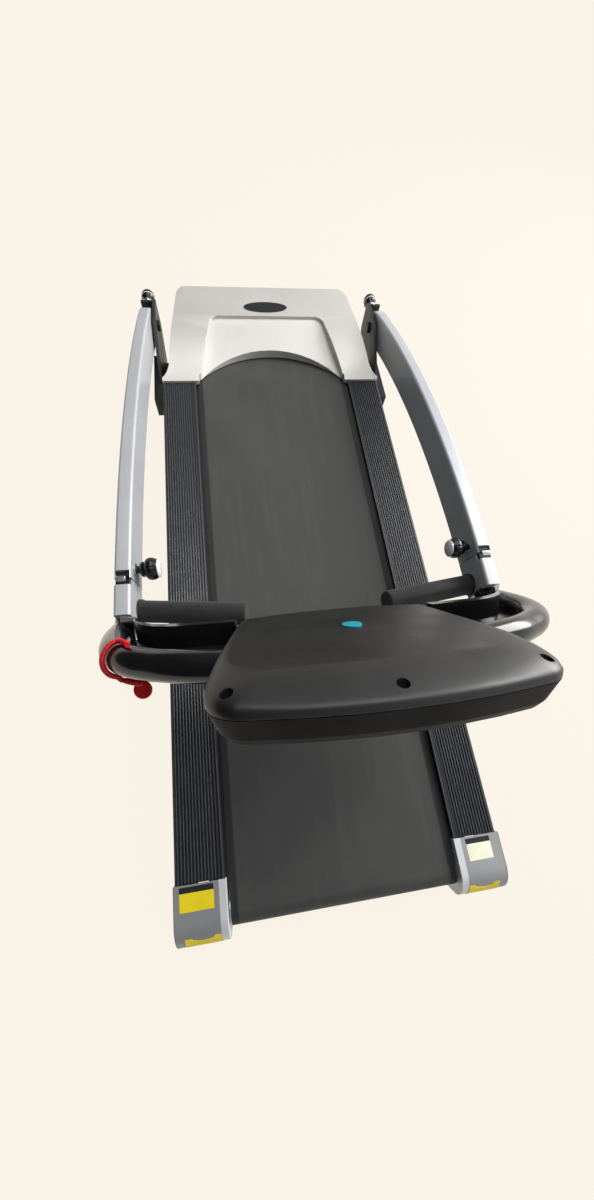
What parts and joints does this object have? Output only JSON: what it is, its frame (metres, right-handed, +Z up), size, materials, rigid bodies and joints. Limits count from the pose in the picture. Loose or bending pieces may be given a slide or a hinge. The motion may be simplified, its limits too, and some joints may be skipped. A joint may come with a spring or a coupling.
{
  "type": "treadmill",
  "caption": "Folding home treadmill lying flat for storage, with curved uprights swung down over the running deck and a console between two looped handlebars.",
  "frame": {"origin": "on the floor under the middle of the bounding box", "axes": "+X to the walker's right, +Y along the deck towards the motor, +Z up"},
  "size_m": [0.7364, 1.6086, 0.5997],
  "materials": {
    "belt_rubber": "fine-textured running belt",
    "black_plastic": "black moulded plastic",
    "black_steel": "black powder coat",
    "bright_steel": "zinc-plated steel",
    "cap_plastic": "grey moulded plastic",
    "chrome": "polished chrome",
    "circuit_board": "green circuit board",
    "dark_lens": "dark clear display window",
    "deck_wood": "waxed fibre board",
    "drive_rubber": "black rubber",
    "foam": "soft black foam",
    "gloss_black": "glossy black plastic",
    "green_plastic": "green plastic",
    "hood_paint": "warm silver paint on moulded plastic",
    "red_plastic": "red plastic",
    "ribbed_plastic": "dark grey ribbed plastic",
    "silver_paint": "satin silver paint",
    "teal_plastic": "teal enamelled disc"
  },
  "bodies": {
    "frame": {"running_belt": "belt_rubber", "deck_board": "deck_wood", "drive_belt": "drive_rubber", "motor": "black_steel", "motor_pan": "black_steel", "motor_controller": "black_plastic", "side_tube_right": "black_steel", "side_tube_left": "black_steel", "cross_member_rear": "black_steel", "cross_member_front": "black_steel", "base_crossbar": "black_steel", "foot_rail_right": "ribbed_plastic", "foot_rail_left": "ribbed_plastic", "end_cap_right": "cap_plastic", "end_cap_left": "cap_plastic", "rear_foot_right": "drive_rubber", "rear_foot_left": "drive_rubber", "front_foot_right": "drive_rubber", "front_foot_left": "drive_rubber", "wheel_bracket_right": "bright_steel", "wheel_bracket_left": "bright_steel", "hood": "hood_paint", "hood_badge": "gloss_black", "power_panel": "black_plastic", "pivot_bracket_right": "black_steel", "pivot_bracket_left": "black_steel", "pivot_pin_right": "bright_steel", "pivot_pin_left": "bright_steel"},
    "uprights": {"arm_left": "silver_paint", "arm_right": "silver_paint", "elbow_barrel_left": "chrome", "elbow_barrel_right": "chrome"},
    "head": {"upper_section_left": "silver_paint", "upper_section_right": "silver_paint", "foam_grip_left": "foam", "foam_grip_right": "foam", "handlebar_left": "gloss_black", "handlebar_right": "gloss_black", "wing_left": "gloss_black", "wing_right": "gloss_black", "console_back": "black_plastic", "console_face": "black_plastic", "console_badge": "teal_plastic", "display_board": "circuit_board", "display_lens": "dark_lens", "lanyard": "red_plastic", "lanyard_clip": "red_plastic", "safety_key": "red_plastic"},
    "front_roller": {"front_roller": "bright_steel"},
    "rear_roller": {"rear_roller": "bright_steel"},
    "motor_pulley": {"motor_pulley": "bright_steel"},
    "base_knob_left": {"base_knob_left": "gloss_black"},
    "base_knob_right": {"base_knob_right": "gloss_black"},
    "elbow_knob_left": {"elbow_knob_left": "gloss_black"},
    "elbow_knob_right": {"elbow_knob_right": "gloss_black"},
    "transport_wheel_left": {"transport_wheel_left": "drive_rubber"},
    "transport_wheel_right": {"transport_wheel_right": "drive_rubber"},
    "power_switch": {"power_switch": "red_plastic"},
    "button_start": {"button_start": "green_plastic"},
    "button_stop": {"button_stop": "red_plastic"}
  },
  "joints": [
    {"name": "uprights_fold", "type": "hinge", "parent": "frame", "child": "uprights", "pos_m": [0, 0.6587, 0.157], "axis": [-1, 0, 0], "range_deg": [0, 85]},
    {"name": "head_fold", "type": "hinge", "parent": "uprights", "child": "head", "pos_m": [0, -0.1853, 0.28], "axis": [-1, 0, 0], "range_deg": [0, 90]},
    {"name": "front_roller_spin", "type": "hinge", "parent": "frame", "child": "front_roller", "pos_m": [0, 0.5987, 0.0972], "axis": [1, 0, 0], "continuous": true},
    {"name": "rear_roller_spin", "type": "hinge", "parent": "frame", "child": "rear_roller", "pos_m": [0, -0.7573, 0.0972], "axis": [1, 0, 0], "continuous": true},
    {"name": "motor_pulley_spin", "type": "hinge", "parent": "frame", "child": "motor_pulley", "pos_m": [0, 0.7087, 0.1104], "axis": [1, 0, 0], "continuous": true},
    {"name": "base_knob_left_turn", "type": "hinge", "parent": "frame", "child": "base_knob_left", "pos_m": [-0.33025, 0.7767, 0.157], "axis": [0, 1, 0], "continuous": true},
    {"name": "base_knob_right_turn", "type": "hinge", "parent": "frame", "child": "base_knob_right", "pos_m": [0.33025, 0.7767, 0.157], "axis": [0, 1, 0], "continuous": true},
    {"name": "elbow_knob_left_turn", "type": "hinge", "parent": "uprights", "child": "elbow_knob_left", "pos_m": [-0.31, -0.1583, 0.262], "axis": [1, 0, 0], "continuous": true},
    {"name": "elbow_knob_right_turn", "type": "hinge", "parent": "uprights", "child": "elbow_knob_right", "pos_m": [0.31, -0.1583, 0.262], "axis": [1, 0, 0], "continuous": true},
    {"name": "transport_wheel_left_spin", "type": "hinge", "parent": "frame", "child": "transport_wheel_left", "pos_m": [-0.206, 0.7557, 0.0305], "axis": [1, 0, 0], "continuous": true},
    {"name": "transport_wheel_right_spin", "type": "hinge", "parent": "frame", "child": "transport_wheel_right", "pos_m": [0.206, 0.7557, 0.0305], "axis": [1, 0, 0], "continuous": true},
    {"name": "power_switch_rock", "type": "hinge", "parent": "frame", "child": "power_switch", "pos_m": [-0.095, 0.7941, 0.112], "axis": [1, 0, 0], "range_deg": [-7, 7]},
    {"name": "button_start_press", "type": "slide", "parent": "head", "child": "button_start", "axis": [0, 0.8251, 0.565], "range_m": [0, 0.002], "stiffness_N_per_m": 400},
    {"name": "button_stop_press", "type": "slide", "parent": "head", "child": "button_stop", "axis": [0, 0.8251, 0.565], "range_m": [0, 0.002], "stiffness_N_per_m": 400}
  ],
  "couplings": [
    {"joint": "rear_roller_spin", "follows": "front_roller_spin", "ratio": 1},
    {"joint": "motor_pulley_spin", "follows": "front_roller_spin", "ratio": 2.2857}
  ]
}
